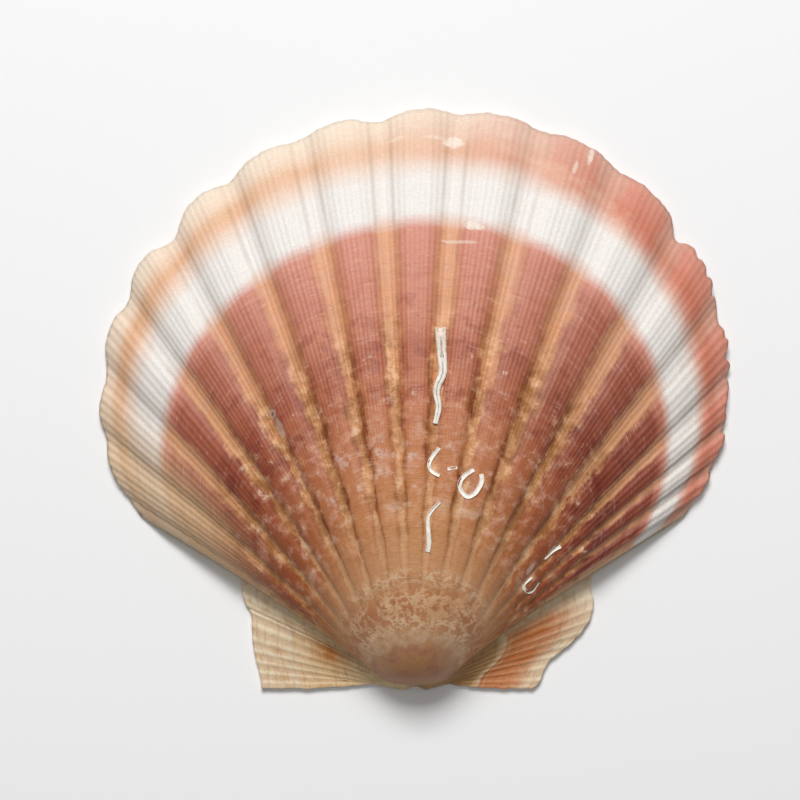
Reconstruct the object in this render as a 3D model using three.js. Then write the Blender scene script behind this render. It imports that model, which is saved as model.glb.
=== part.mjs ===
// One valve of a scallop shell, lying on its rim with the dome up, and the chalky worm tubes on it.
// Millimetres. X runs along the hinge, Y from the hinge to the open margin, Z up through the dome.

import * as THREE from 'three';
import { mergeVertices } from 'three/addons/utils/BufferGeometryUtils.js';

// ---- Driving dimensions -------------------------------------------------------------------

// The rim of the disc, seen square on: an upper and a lower half ellipse that share a centre.
const DISC_CENTRE = [0.8, 55.9];
const DISC_HALF_WIDTH = 63.1;
const DISC_ABOVE = 56.4;
const DISC_BELOW = 47;
const SHOULDER_LEAN = 1.7; // the right shoulder is fuller than the left by twice this
const SHOULDER_WAVES = 3.75;
const FLANK_BEARINGS = [-59.2, 59.4]; // where the disc stops and its side walls begin, degrees

// The ears, from the hinge edge up their free side to the notch under the disc.
const HINGE_SETBACK = 3.6;
const LEFT_EAR = [[-30.3, -HINGE_SETBACK], [-31.3, 0], [-31.9, 6.5], [-32.3, 12.6], [-33.7, 17.4]];
const RIGHT_EAR = [[25.6, -HINGE_SETBACK], [27.4, 0], [31.6, 5.2], [35.0, 10.2], [36.8, 17]];
const NOTCHES = [[-33.3, 21.2], [36.6, 22.4]];
const WALL_STEPS = 3;

// Sixteen ribs: the bearing of each crest from the beak, in degrees right of straight up.
const RIB_CRESTS = [
  -55, -48.9, -41.2, -33, -24.6, -16, -7.5, 0.9, 9.1, 17.9, 26.7, 35.9, 44.3, 49.7, 53.3, 56.9,
];
const RIB_HEIGHT = 2.1;
const RIB_SHOULDER = [0.48, 0.92]; // place from crest to furrow, and height as a share of the crest's
const RIB_FOOT = [0.82, 0.08];
const FLANK_MARGIN = 1; // degrees of smooth shell outside the last furrows
const RIB_FLARE = 0.004; // how far the crests carry the rim outwards, as a share of its distance
const RIB_BIRTH = [0.12, 0.38]; // growth stages where the ribs appear and are full
const INNER_RIB_SHARE = 0.8;
const INNER_RIB_FADE = [0.5, 0.95];

// Growth: every stage is the one before made larger and turned about the hinge line.
const GROWTH_PITCH = 1.7; // natural log of the enlargement in one radian of turn
const BEAK_TURN = 1.75; // radians turned since the first stage
const CAVITY_TURN = 1.05; // the same for the hollow, which stops short of the beak
const TURN_SHARPNESS = 6; // how suddenly the turning stops as it nears its limit
const BEAK_LEAN = 2.2; // how far the beak leans back over the hinge line
const BEAK_LEAN_POWER = 6;
const UMBO_NARROWING = 0.38; // share of its width that the first stage lacks
const UMBO_NARROWING_POWER = 2;
const HINGE_PLATE = 1.5; // how far in front of the spiral's line the hollow ends
const HINGE_PLATE_POWER = 4;
const STAGES = 18;
const STAGE_SPACING = 1.3;

// Wall thickness of the disc at the rim and near the beak, and of the ears.
const RIM_WALL = 1.4;
const UMBO_WALL = 2.8;
const EAR_WALL = 1.3;
const WALL_POWER = 0.7; // how evenly the wall thins from the umbo to the rim
const EAR_BLEND = 0.3; // share of an ear over which its wall meets the disc's
const BEAK_TAPER = 0.12; // growth stage below which the disc's wall thins out to the beak

// Worm tubes: a plan route on the shell, with the tube's radius at both ends.
const TUBE_GAP = 0.3;
const TUBE_SIDES = 8;
const ABOVE_THE_DOME = 100;
const WORM_TUBES = {
  worm_tube_long: { radii: [1.15, 0.5], steps: 12,
    route: [[5.7, 69.2], [5.9, 64.5], [6.1, 60.3], [5.1, 57.7], [4.9, 56.1], [5.3, 53.4], [4.6, 50.2]] },
  worm_tube_hook: { radii: [0.45, 0.4], steps: 10,
    route: [[5.4, 45.6], [3.9, 43.6], [3.4, 42.2], [4.0, 41.0], [5.5, 40.2]] },
  worm_tube_crumb: { radii: [0.4, 0.35], steps: 3, route: [[7, 41.5], [8.9, 41.8]] },
  worm_tube_loop: { radii: [0.45, 0.45], steps: 16,
    route: [[12.2, 41.4], [10.2, 40], [9.4, 38.4], [9.9, 36.9], [11, 36.1], [12.2, 36.6],
      [13.1, 37.7], [13.7, 39.1], [13.6, 40.5]] },
  worm_tube_short: { radii: [0.35, 0.6], steps: 10,
    route: [[5.5, 35], [3.7, 33], [3.2, 31.5], [3.3, 29.1], [3.4, 27], [3.1, 25.2]] },
  worm_tube_line: { radii: [0.4, 0.4], steps: 7, route: [[29.7, 25.8], [28.1, 24.9], [26.4, 23.4]] },
  worm_tube_arc: { radii: [0.4, 0.4], steps: 10,
    route: [[23.9, 19.8], [22.4, 18.3], [22.7, 17.1], [23.9, 16.7], [25.4, 18.6]] },
};

const SHELL_FINISH = { color: 0xd9a184, roughness: 0.55, metalness: 0 };
const TUBE_FINISH = { color: 0xf1e8dc, roughness: 0.85, metalness: 0 };

// ---- The growing rim ----------------------------------------------------------------------

const radians = THREE.MathUtils.degToRad;
const mix = THREE.MathUtils.lerp;
const ease = THREE.MathUtils.smoothstep;

// Distance from the beak to the rim of the disc along one bearing.
function rimDistance(bearing) {
  const [dx, dy] = [Math.sin(bearing), Math.cos(bearing)];
  const [cx, cy] = DISC_CENTRE;
  const reach = (halfHeight) => {
    const a = (dx / DISC_HALF_WIDTH) ** 2 + (dy / halfHeight) ** 2;
    const b = (dx * cx) / DISC_HALF_WIDTH ** 2 + (dy * cy) / halfHeight ** 2;
    const c = (cx / DISC_HALF_WIDTH) ** 2 + (cy / halfHeight) ** 2 - 1;
    return (b + Math.sqrt(b * b - a * c)) / a;
  };
  const upper = reach(DISC_ABOVE);
  const plain = upper * dy >= cy ? upper : reach(DISC_BELOW);
  return plain + SHOULDER_LEAN * Math.sin(SHOULDER_WAVES * bearing);
}

function discStation(bearing, rib) {
  const distance = rimDistance(bearing) * (1 + RIB_FLARE * rib);
  return { x: distance * Math.sin(bearing), y: distance * Math.cos(bearing), rib, ear: 0 };
}

// Stations across the ribs: crest, shoulder, foot and furrow of each.
function discStations() {
  const furrows = RIB_CRESTS.slice(1).map((crest, i) => (crest + RIB_CRESTS[i]) / 2);
  const edges = [FLANK_BEARINGS[0] + FLANK_MARGIN, ...furrows, FLANK_BEARINGS[1] - FLANK_MARGIN];
  const stations = [discStation(radians(FLANK_BEARINGS[0]), 0), discStation(radians(edges[0]), 0)];
  const [shoulder, shoulderHeight] = RIB_SHOULDER;
  const [foot, footHeight] = RIB_FOOT;
  RIB_CRESTS.forEach((crest, i) => {
    const [low, high] = [edges[i], edges[i + 1]];
    const across = [
      [mix(crest, low, foot), footHeight], [mix(crest, low, shoulder), shoulderHeight], [crest, 1],
      [mix(crest, high, shoulder), shoulderHeight], [mix(crest, high, foot), footHeight], [high, 0],
    ];
    for (const [bearing, rib] of across) stations.push(discStation(radians(bearing), rib));
  });
  stations.push(discStation(radians(FLANK_BEARINGS[1]), 0));
  return stations;
}

// An ear's stations run from the hinge edge to the notch; `ear` falls from 1 at the hinge edge.
function earStations(outline, notch) {
  const points = [...outline, notch];
  return points.map(([x, y], i) => ({ x, y, rib: 0, ear: 1 - i / points.length, hinge: i === 0 }));
}

// The side wall between an ear's notch and the disc.
function wallStations(notch, corner) {
  const stations = [];
  for (let i = 1; i < WALL_STEPS; i++) {
    const along = i / WALL_STEPS;
    stations.push({ x: mix(notch[0], corner.x, along), y: mix(notch[1], corner.y, along), rib: 0, ear: 0 });
  }
  return stations;
}

// All of the rim, from the left end of the hinge over the disc to its right end.
function rimStations() {
  const disc = discStations();
  const left = [...earStations(LEFT_EAR, NOTCHES[0]), ...wallStations(NOTCHES[0], disc[0])];
  const right = [...earStations(RIGHT_EAR, NOTCHES[1]), ...wallStations(NOTCHES[1], disc.at(-1))];
  return [...left, ...disc, ...right.reverse()];
}

// ---- The two faces of the valve -----------------------------------------------------------

function turnAt(stage, limit) {
  const free = -Math.log(stage) / GROWTH_PITCH;
  return free / (1 + (free / limit) ** TURN_SHARPNESS) ** (1 / TURN_SHARPNESS);
}

// A rim station as it stood at an earlier growth stage, before the shell thickened.
function stagePoint(station, stage, turnLimit, setback) {
  const turn = turnAt(stage, turnLimit);
  const x = stage * station.x * (1 - UMBO_NARROWING * (1 - stage) ** UMBO_NARROWING_POWER);
  const y = stage * station.y * Math.cos(turn) + setback(station, stage, turn);
  return new THREE.Vector3(x, y, Math.max(0, stage * station.y * Math.sin(turn)));
}

// The hinge edge stays one straight line, and the beak leans back to meet it.
function outerSetback(station, stage, turn) {
  const hinge = -HINGE_SETBACK * (1 - stage * Math.cos(turn));
  const beak = -BEAK_LEAN * (1 - stage) ** BEAK_LEAN_POWER;
  return mix(beak, hinge, station.ear);
}

// Inside, the hollow ends in front of the hinge edge and leaves a flat hinge plate.
function innerSetback(station, stage, turn) {
  if (station.hinge) return -HINGE_SETBACK * (1 - stage * Math.cos(turn));
  return HINGE_PLATE * (1 - stage) ** HINGE_PLATE_POWER;
}

function faceRows(stations, stages, turnLimit, setback) {
  return stages.map((stage) => stations.map((s) => stagePoint(s, stage, turnLimit, setback)));
}

// Triangles of one face: the rows of the grid, then a fan from the last row to the beak point.
function faceTriangles(columns, rows) {
  const triangles = [];
  for (let row = 0; row < rows - 1; row++) {
    for (let column = 0; column < columns - 1; column++) {
      const a = row * columns + column;
      triangles.push(a, a + 1, a + columns, a + 1, a + columns + 1, a + columns);
    }
  }
  const last = (rows - 1) * columns;
  for (let column = 0; column < columns - 1; column++) {
    triangles.push(last + column, last + column + 1, rows * columns);
  }
  return triangles;
}

function geometryFrom(points, triangles) {
  const geometry = new THREE.BufferGeometry();
  const numbers = points.flatMap((point) => point.toArray());
  geometry.setAttribute('position', new THREE.Float32BufferAttribute(numbers, 3));
  geometry.setIndex(triangles);
  return geometry;
}

// Outward directions of a face, averaged over the triangles that meet at each point.
function outwardNormals(points, triangles) {
  const geometry = geometryFrom(points, triangles);
  geometry.computeVertexNormals();
  const normals = geometry.getAttribute('normal');
  return points.map((_, i) => new THREE.Vector3().fromBufferAttribute(normals, i).negate());
}

function wallThickness(station, stage) {
  const disc = mix(UMBO_WALL, RIM_WALL, stage ** WALL_POWER);
  return mix(disc, EAR_WALL, ease(station.ear, 0, EAR_BLEND)) * ease(stage, 0, BEAK_TAPER);
}

function ribLift(station, stage) {
  return RIB_HEIGHT * stage * station.rib * ease(stage, ...RIB_BIRTH);
}

function valveGeometry() {
  const stations = rimStations();
  const stages = Array.from({ length: STAGES }, (_, i) => (1 - i / STAGES) ** STAGE_SPACING);
  const grid = faceTriangles(stations.length, STAGES);
  const outer = faceRows(stations, stages, BEAK_TURN, outerSetback).flat();
  const inner = faceRows(stations, stages, CAVITY_TURN, innerSetback).flat();
  outer.push(new THREE.Vector3(0, -HINGE_SETBACK, 0));
  inner.push(new THREE.Vector3(0, -HINGE_SETBACK, 0));
  const outward = outwardNormals(outer, grid);
  const inward = outwardNormals(inner, grid);
  outer.forEach((point, i) => {
    const station = stations[i % stations.length];
    const stage = stages[Math.floor(i / stations.length)];
    if (stage === undefined) {
      point.z += EAR_WALL;
      return;
    }
    const hollowRib = ribLift(station, stage) * INNER_RIB_SHARE * ease(stage, ...INNER_RIB_FADE);
    inner[i].addScaledVector(inward[i], hollowRib);
    if (station.hinge) point.z += EAR_WALL;
    else point.addScaledVector(outward[i], wallThickness(station, stage) + ribLift(station, stage));
    point.z = Math.max(point.z, 0);
  });
  return closeFaces(outer, inner, grid, stations.length);
}

// Joins the outer and the inner face round their shared edge: the rim, and the hinge line.
function closeFaces(outer, inner, grid, columns) {
  const count = outer.length;
  const rows = (count - 1) / columns;
  const triangles = [];
  for (let i = 0; i < grid.length; i += 3) {
    triangles.push(grid[i], grid[i + 2], grid[i + 1]);
    triangles.push(grid[i] + count, grid[i + 1] + count, grid[i + 2] + count);
  }
  const rim = Array.from({ length: columns }, (_, i) => i);
  const rightHinge = Array.from({ length: rows - 1 }, (_, i) => (i + 2) * columns - 1);
  const leftHinge = Array.from({ length: rows - 1 }, (_, i) => (rows - 1 - i) * columns);
  const edge = [...rim, ...rightHinge, count - 1, ...leftHinge];
  edge.forEach((from, i) => {
    const to = edge[(i + 1) % edge.length];
    triangles.push(from, to, from + count, to, to + count, from + count);
  });
  return mergeVertices(geometryFrom([...outer, ...inner], triangles), 1e-4);
}

// ---- Worm tubes ---------------------------------------------------------------------------

// The tube's plan route, dropped straight down onto the shell's outer face.
function layOnShell(shell, route, steps, radiusAt) {
  const plan = new THREE.CatmullRomCurve3(route.map(([x, y]) => new THREE.Vector3(x, y, 0)));
  const down = new THREE.Vector3(0, 0, -1);
  const ray = new THREE.Raycaster();
  return plan.getSpacedPoints(steps).map((point, i) => {
    const radius = radiusAt(i / steps);
    let top = 0;
    for (const [sideX, sideY] of [[0, 0], [1, 0], [-1, 0], [0, 1], [0, -1]]) {
      ray.set(new THREE.Vector3(point.x + sideX * radius, point.y + sideY * radius, ABOVE_THE_DOME), down);
      top = Math.max(top, ray.intersectObject(shell)[0].point.z);
    }
    return new THREE.Vector3(point.x, point.y, top + TUBE_GAP + radius);
  });
}

// A tapering round tube with closed ends, through the points of its centre line.
function tubeGeometry(centres, radiusAt) {
  const curve = new THREE.CatmullRomCurve3(centres);
  const frames = curve.computeFrenetFrames(centres.length - 1, false);
  const rings = centres.map((centre, i) => {
    const radius = radiusAt(i / (centres.length - 1));
    return Array.from({ length: TUBE_SIDES }, (_, side) => {
      const angle = (2 * Math.PI * side) / TUBE_SIDES;
      return centre.clone()
        .addScaledVector(frames.normals[i], radius * Math.cos(angle))
        .addScaledVector(frames.binormals[i], radius * Math.sin(angle));
    });
  });
  const triangles = [];
  const last = (rings.length - 1) * TUBE_SIDES;
  for (let side = 0; side < TUBE_SIDES; side++) {
    const next = (side + 1) % TUBE_SIDES;
    for (let ring = 0; ring < last; ring += TUBE_SIDES) {
      triangles.push(ring + side, ring + next, ring + TUBE_SIDES + side);
      triangles.push(ring + next, ring + TUBE_SIDES + next, ring + TUBE_SIDES + side);
    }
    if (side > 0 && side < TUBE_SIDES - 1) {
      triangles.push(0, next, side, last, last + side, last + next);
    }
  }
  return geometryFrom(rings.flat(), triangles);
}

function wormTube(name, { route, radii, steps }, shell) {
  const radiusAt = (along) => mix(radii[0], radii[1], along);
  const centres = layOnShell(shell, route, steps, radiusAt);
  const tube = new THREE.Mesh(tubeGeometry(centres, radiusAt), new THREE.MeshStandardMaterial(TUBE_FINISH));
  tube.name = name;
  return tube;
}

// ---- The whole object ---------------------------------------------------------------------

const shell = new THREE.Mesh(valveGeometry(), new THREE.MeshStandardMaterial(SHELL_FINISH));
shell.name = 'shell_valve';
shell.updateMatrixWorld();

const scallop = new THREE.Group();
scallop.add(shell);
for (const [name, tube] of Object.entries(WORM_TUBES)) scallop.add(wormTube(name, tube, shell));

// Stand it on the middle of its own footprint.
const box = new THREE.Box3().setFromObject(scallop);
const middle = box.getCenter(new THREE.Vector3());
scallop.position.set(-middle.x, -middle.y, -box.min.z);

export default scallop;
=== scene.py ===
# A scallop shell on its rim: one ribbed valve, dome up, with chalky worm tubes cemented to its back.
# Metres. X runs along the hinge, Y from the hinge to the open margin, Z up through the dome.

import math

import bmesh
import bpy
import numpy as np
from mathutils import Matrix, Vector
from mathutils.bvhtree import BVHTree


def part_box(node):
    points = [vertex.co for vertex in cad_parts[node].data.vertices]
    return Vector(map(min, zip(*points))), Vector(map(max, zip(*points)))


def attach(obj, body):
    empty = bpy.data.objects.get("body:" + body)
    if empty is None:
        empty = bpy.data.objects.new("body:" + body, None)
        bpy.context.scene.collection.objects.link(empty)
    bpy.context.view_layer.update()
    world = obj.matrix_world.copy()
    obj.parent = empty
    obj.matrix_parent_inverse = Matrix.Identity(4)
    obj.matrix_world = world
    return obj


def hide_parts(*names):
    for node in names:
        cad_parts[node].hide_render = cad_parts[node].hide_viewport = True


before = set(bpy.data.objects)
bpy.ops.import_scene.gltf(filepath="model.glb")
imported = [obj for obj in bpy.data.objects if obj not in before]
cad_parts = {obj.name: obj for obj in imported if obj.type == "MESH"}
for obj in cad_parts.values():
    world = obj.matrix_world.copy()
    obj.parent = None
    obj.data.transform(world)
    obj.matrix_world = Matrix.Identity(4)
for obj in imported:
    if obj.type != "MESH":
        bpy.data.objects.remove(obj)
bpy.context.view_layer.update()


# ---- The valve ----------------------------------------------------------------------------
# One shell of calcite, laid down by the animal's mantle as a rim that grew and turned.
# Its rim is drawn once as a line of stations; the growth tree repeats it at every earlier stage,
# thickens it outwards and raises the ribs, the riblets and the growth checks on it.

MM = 0.001
DISC_CENTRE = (0.8, 55.9)
DISC_HALF_WIDTH, DISC_ABOVE, DISC_BELOW = 63.1, 56.4, 47.0
SHOULDER_LEAN, SHOULDER_WAVES = 1.7, 3.75
FLANKS = (-59.2, 59.4)
HINGE_SETBACK = 3.6
LEFT_EAR = (
    (-30.3, -3.6), (-30.7, -0.8), (-31.6, 3.0), (-32.1, 7.0), (-32.2, 12.0), (-33.6, 14.6), (-34.1, 18.3),
    (-33.3, 21.2),
)
RIGHT_EAR = (
    (24.8, -3.6), (26.2, -2.2), (28.0, 2.0), (32.5, 6.0), (35.9, 10.2), (36.8, 14.2), (36.0, 17.2),
    (37.0, 21.4),
)
RIB_CRESTS = (
    -55, -48.9, -41.2, -33, -24.6, -16, -7.5, 0.9, 9.1, 17.9, 26.7, 35.9, 44.3, 49.7, 53.3, 56.9,
)
RIBLET_PITCH, FLANK_RIBLET_PITCH = 0.72, 0.95  # degrees between the fine ridges
FLANK_START = 36  # degrees from the middle
LEAST_RIBLETS = 3
RIBLET_COLUMNS = 4
EAR_COLUMNS = 40
EAR_RIBLETS = 12
WALL_COLUMNS = 6
OUTER_ROWS = 101
INNER_STEP = 4  # the plainer inner face keeps every fourth row of the outer one
ROW_SPACING = 1.2

# Where the rim is broken: bearing in degrees, width in degrees, depth as a share of its distance.
CHIPS = (
    (-52.5, 1.2, 0.008), (-46.6, 2.2, 0.013), (-37.6, 1.6, 0.010), (-28.7, 2.2, 0.020), (-20.2, 1.4, 0.008),
    (-3.2, 2.4, 0.008), (31.4, 1.0, 0.018), (34.4, 0.4, 0.006), (36.4, 0.35, 0.007), (38.2, 0.5, 0.010),
    (41.2, 0.9, 0.010), (42.8, 0.35, 0.008), (44.6, 0.7, 0.016), (46.8, 0.4, 0.010), (49.6, 1.4, 0.018),
    (51.9, 0.4, 0.010), (54.0, 0.8, 0.009), (55.6, 0.35, 0.008), (57.0, 0.8, 0.010),
)
RIM_UNEVENNESS = 0.0011
CHIP_ROOT, CHIP_DEEPENS = 0.93, 0.07  # the growth stage where chips start, and their reach

low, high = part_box("shell_valve")
# The growth axis, measured from the box of the solid: its left end and the back of its beak.
AXIS = Vector((low.x + 64.13 * MM, low.y + 3.78 * MM, low.z))


def rim_distance(bearing):
    """Distance in mm from the growth axis to the disc's rim along one bearing."""
    dx, dy = math.sin(bearing), math.cos(bearing)
    cx, cy = DISC_CENTRE

    def reach(half_height):
        a = (dx / DISC_HALF_WIDTH) ** 2 + (dy / half_height) ** 2
        b = dx * cx / DISC_HALF_WIDTH**2 + dy * cy / half_height**2
        c = (cx / DISC_HALF_WIDTH) ** 2 + (cy / half_height) ** 2 - 1
        return (b + math.sqrt(b * b - a * c)) / a

    upper = reach(DISC_ABOVE)
    plain = upper if upper * dy >= cy else reach(DISC_BELOW)
    return plain + SHOULDER_LEAN * math.sin(SHOULDER_WAVES * bearing)


def along_outline(points, share):
    """A point a share of the way along a smooth line through an ear's outline points."""
    place = share * (len(points) - 1)
    i = min(int(place), len(points) - 2)
    t = place - i
    p = [np.array(points[min(max(k, 0), len(points) - 1)]) for k in (i - 1, i, i + 1, i + 2)]
    return 0.5 * (
        2 * p[1] + (p[2] - p[0]) * t + (2 * p[0] - 5 * p[1] + 4 * p[2] - p[3]) * t**2
        + (3 * p[1] - p[0] - 3 * p[2] + p[3]) * t**3
    )


def ear_stations(outline):
    """Stations from the hinge edge to the notch: x, y, rib, riblet, ear and crease."""
    rows = []
    for i in range(EAR_COLUMNS):
        share = i / (EAR_COLUMNS - 1)
        x, y = along_outline(outline, share)
        rows.append((x, y, 0, share * EAR_RIBLETS, 1 - 0.85 * share, max(0, share * 5 - 4)))
    return rows


def wall_stations(notch, corner):
    """The side wall between an ear's notch and the disc."""
    steps = [i / (WALL_COLUMNS + 1) for i in range(1, WALL_COLUMNS + 1)]
    return [
        (notch[0] + (corner[0] - notch[0]) * t, notch[1] + (corner[1] - notch[1]) * t, 0, 0, 0, 1 - 0.5 * t)
        for t in steps
    ]


def disc_station(bearing, rib, riblet, crease=0.0):
    angle = math.radians(bearing)
    distance = rim_distance(angle)
    return (distance * math.sin(angle), distance * math.cos(angle), rib, riblet, 0, crease)


def disc_stations():
    """Stations over the ribs. A whole rib number is a furrow, and a half is a crest."""
    furrows = [(a + b) / 2 for a, b in zip(RIB_CRESTS, RIB_CRESTS[1:])]
    edges = [FLANKS[0] + 1, *furrows, FLANKS[1] - 1]
    rows = [disc_station(FLANKS[0], 0, 0, 0.5), disc_station(FLANKS[0] + 0.5, 0, 0, 0.25)]
    riblet = 0
    for rib, (start, end) in enumerate(zip(edges, edges[1:])):
        pitch = FLANK_RIBLET_PITCH if abs(start + end) > 2 * FLANK_START else RIBLET_PITCH
        riblets = max(LEAST_RIBLETS, round((end - start) / pitch))
        columns = riblets * RIBLET_COLUMNS
        for i in range(columns):
            share = i / columns
            # The crest keeps to the middle of its rib number even where it leans to one side.
            crest = RIB_CRESTS[rib]
            bearing = start + (end - start) * share
            across = (bearing - start) / (crest - start) * 0.5
            if bearing > crest:
                across = 0.5 + (bearing - crest) / (end - crest) * 0.5
            rows.append(disc_station(bearing, rib + across, riblet + share * riblets))
        riblet += riblets
    rows.append(disc_station(edges[-1], len(RIB_CRESTS), riblet))
    rows.append(disc_station(FLANKS[1] - 0.5, len(RIB_CRESTS), riblet, 0.25))
    rows.append(disc_station(FLANKS[1], len(RIB_CRESTS), riblet, 0.5))
    return rows


disc = disc_stations()
stations = [
    *ear_stations(LEFT_EAR), *wall_stations(LEFT_EAR[-1], disc[0]), *disc,
    *wall_stations(RIGHT_EAR[-1], disc[-1])[::-1], *ear_stations(RIGHT_EAR)[::-1],
]
rim = np.array(stations)
columns = len(rim)
bearings = np.degrees(np.arctan2(rim[:, 0], rim[:, 1]))
chipped = np.zeros(columns)
for bearing, width, depth in CHIPS:
    chipped += depth * np.exp(-(((bearings - bearing) / width) ** 2))

# Between its chips the rim is still slightly uneven.
waves = np.sin(bearings * 2.3) * np.sin(bearings * 0.9) + np.sin(bearings * 6.1 + 1) * 0.35
chipped += RIM_UNEVENNESS * (waves + 1)

stages = (1 - np.arange(OUTER_ROWS) / OUTER_ROWS) ** ROW_SPACING


def face_grid(rows, outer):
    """The points of one face, flat in the rim's plane, with what each point is."""
    stage = np.repeat(rows, columns)
    column = np.tile(np.arange(columns), len(rows))
    broken = chipped[column] * np.clip((stage - CHIP_ROOT) / CHIP_DEEPENS, 0, 1) ** 2
    stage = stage - broken
    points = np.stack([rim[column, 0] * stage, rim[column, 1] * stage, np.zeros_like(stage)], 1) * MM
    marks = {
        "stage": stage, "rim_x": rim[column, 0] * MM, "rim_y": rim[column, 1] * MM,
        "rib_no": rim[column, 2], "riblet_no": rim[column, 3], "ear": rim[column, 4],
        "crease": rim[column, 5], "bearing": bearings[column], "outer": np.full(len(stage), outer),
    }
    return points, marks


outer_points, outer_marks = face_grid(stages, 1.0)
inner_points, inner_marks = face_grid(stages[::INNER_STEP], 0.0)
inner_rows = len(stages[::INNER_STEP])
inner_start = len(outer_points)
shell_points = np.concatenate([outer_points, inner_points])
shell_marks = {name: np.concatenate([outer_marks[name], inner_marks[name]]) for name in outer_marks}


def grid_faces(start, rows, upward):
    """Quads of one face, wound so that the outer one looks up and the inner one down."""
    faces = []
    for row in range(rows - 1):
        for column in range(columns - 1):
            a = start + row * columns + column
            quad = (a, a + columns, a + columns + 1, a + 1)
            faces.append(quad if upward else quad[::-1])
    return faces


growing = bpy.data.meshes.new("growing_rim")
growing.from_pydata(
    shell_points.tolist(), [],
    grid_faces(0, OUTER_ROWS, True) + grid_faces(inner_start, inner_rows, False),
)
for name, values in shell_marks.items():
    growing.attributes.new(name, "FLOAT", "POINT").data.foreach_set("value", values.astype(np.float32))


class Field:
    """A number that a node tree works out for each point, written as ordinary arithmetic."""

    def __init__(self, tree, socket):
        self.tree, self.socket = tree, socket

    def feed(self, slot, value):
        if isinstance(value, Field):
            self.tree.links.new(value.socket, slot)
        else:
            slot.default_value = value

    def sum(self, operation, *values):
        node = self.tree.nodes.new("ShaderNodeMath")
        node.operation = operation
        for slot, value in zip(node.inputs, values):
            self.feed(slot, value)
        return Field(self.tree, node.outputs[0])

    def __add__(self, other):
        return self.sum("ADD", self, other)

    def __sub__(self, other):
        return self.sum("SUBTRACT", self, other)

    def __rsub__(self, other):
        return self.sum("SUBTRACT", other, self)

    def __mul__(self, other):
        return self.sum("MULTIPLY", self, other)

    def __truediv__(self, other):
        return self.sum("DIVIDE", self, other)

    def __pow__(self, other):
        return self.sum("POWER", self, other)

    __radd__, __rmul__ = __add__, __mul__

    def log(self):
        return self.sum("LOGARITHM", self, math.e)

    def sin(self):
        return self.sum("SINE", self)

    def cos(self):
        return self.sum("COSINE", self)

    def abs(self):
        return self.sum("ABSOLUTE", self)

    def fraction(self):
        return self.sum("FRACT", self)

    def above(self, least):
        return self.sum("MAXIMUM", self, least)

    def below(self, most):
        return self.sum("MINIMUM", self, most)

    def ease(self, start, end, low=0.0, high=1.0):
        """Runs smoothly from low to high as this goes from start to end."""
        node = self.tree.nodes.new("ShaderNodeMapRange")
        node.interpolation_type = "SMOOTHSTEP"
        for slot, value in zip(node.inputs, (self, start, end, low, high)):
            self.feed(slot, value)
        return Field(self.tree, node.outputs[0])

    def hump(self, centre, width):
        """1 at the centre, falling smoothly to 0 a width away on both sides."""
        return (self - centre).abs().ease(0.0, width, 1.0, 0.0)

    def mix(self, start, end):
        return start + (end - start) * self if isinstance(end, Field) else (end - start) * self + start


def growth_inputs(tree, sizes):
    """Adds a named input to the tree for each size, and gives them back as fields."""
    group = tree.nodes.new("NodeGroupInput")
    fields = {}
    for name, value in sizes.items():
        socket = tree.interface.new_socket(name=name, in_out="INPUT", socket_type="NodeSocketFloat")
        socket.default_value = value
    for name in sizes:
        fields[name] = Field(tree, group.outputs[name])
    return fields


def named_field(tree, name):
    node = tree.nodes.new("GeometryNodeInputNamedAttribute")
    node.data_type = "FLOAT"
    node.inputs["Name"].default_value = name
    return Field(tree, node.outputs[0])


def noise_field(tree, vector, scale, detail=2.0, roughness=0.5, seed=0.0):
    """Noise between 0 and 1. A vector is a socket, and the seed picks another pattern."""
    shifted = tree.nodes.new("ShaderNodeVectorMath")
    tree.links.new(vector, shifted.inputs[0])
    shifted.inputs[1].default_value = (seed * 3.1, seed * 1.7, seed * 2.3)
    node = tree.nodes.new("ShaderNodeTexNoise")
    tree.links.new(shifted.outputs[0], node.inputs["Vector"])
    node.inputs["Scale"].default_value = scale
    node.inputs["Detail"].default_value = detail
    node.inputs["Roughness"].default_value = roughness
    return Field(tree, node.outputs[0])


def vector_of(tree, x, y, z):
    node = tree.nodes.new("ShaderNodeCombineXYZ")
    for slot, value in zip(node.inputs, (x, y, z)):
        if isinstance(value, Field):
            tree.links.new(value.socket, slot)
        else:
            slot.default_value = value
    return node.outputs[0]


def scaled(tree, vector, amount):
    node = tree.nodes.new("ShaderNodeVectorMath")
    node.operation = "SCALE"
    tree.links.new(vector, node.inputs[0])
    tree.links.new(amount.socket, node.inputs["Scale"])
    return node.outputs[0]


def added(tree, first, second):
    node = tree.nodes.new("ShaderNodeVectorMath")
    tree.links.new(first, node.inputs[0])
    tree.links.new(second, node.inputs[1])
    return node.outputs[0]


GROWTH_SIZES = {
    "Growth Pitch": 1.7, "Beak Turn": 1.75, "Cavity Turn": 1.05, "Beak Lean": 2.2 * MM,
    "Beak Shift": 1.1 * MM, "Umbo Narrowing": 0.38,
    "Hinge Setback": HINGE_SETBACK * MM, "Hinge Plate": 1.5 * MM, "Rim Wall": 1.4 * MM,
    "Umbo Wall": 2.8 * MM, "Ear Wall": 1.3 * MM, "Rib Height": 1.7 * MM, "Riblet Height": 0.048 * MM,
    "Ear Riblet Height": 0.13 * MM, "Growth Check Depth": 0.16 * MM, "Unevenness": 0.6 * MM,
    "Hinge Wear": 0.55 * MM, "Hinge Bow": 1.3 * MM,
}
TURN_SHARPNESS = 6  # how abruptly the turning stops at its limit
BEAK_LEAN_POWER, HINGE_PLATE_POWER, WALL_POWER = 6, 4, 0.7
GROWTH_CHECKS = (0.955, 0.905, 0.81, 0.77, 0.72, 0.6, 0.53, 0.44, 0.37, 0.25)  # growth stages


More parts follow.
